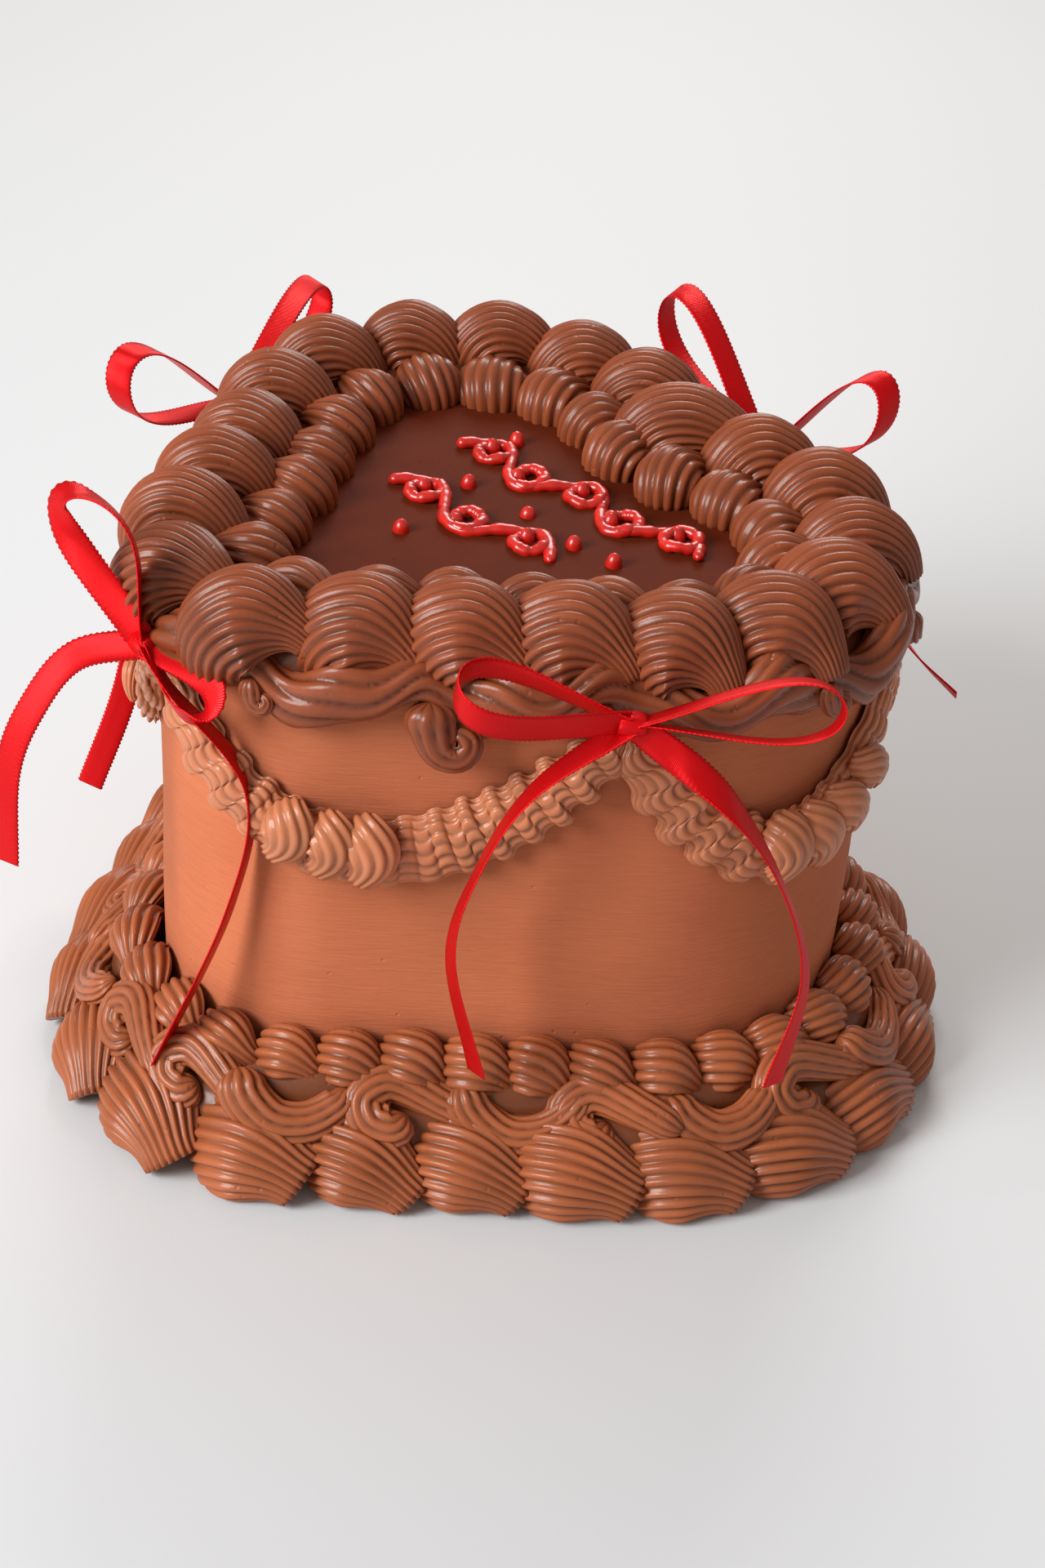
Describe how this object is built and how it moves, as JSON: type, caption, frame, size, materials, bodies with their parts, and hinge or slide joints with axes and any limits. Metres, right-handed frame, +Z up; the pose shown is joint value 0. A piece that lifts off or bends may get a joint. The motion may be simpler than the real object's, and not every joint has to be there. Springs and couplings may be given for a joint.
{
  "type": "layer cake",
  "caption": "Heart-shaped layer cake in chocolate buttercream with piped shell borders, ruffled swags, satin ribbon bows and a red piped scroll on top.",
  "frame": {"origin": "middle of the cake's flat bottom, where it rests", "axes": "+Z up; the heart's point looks along -Y and its notch along +Y"},
  "size_m": [0.228, 0.2201, 0.1495],
  "materials": {
    "wall_icing": "smoothed chocolate buttercream, soft satin sheen",
    "chocolate_icing": "piped chocolate buttercream, glossy",
    "swag_icing": "piped lighter chocolate buttercream, satin",
    "red_satin": "satin ribbon with picot edges"
  },
  "bodies": {
    "root": {"cake_body": "wall_icing", "top_border": "chocolate_icing", "base_border": "chocolate_icing", "swag_1": "swag_icing", "swag_2": "swag_icing", "swag_3": "swag_icing", "swag_4": "swag_icing", "swag_5": "swag_icing", "swag_6": "swag_icing", "bow_point": "red_satin", "bow_right": "red_satin", "bow_notch": "red_satin", "bow_left": "red_satin"}
  },
  "joints": []
}
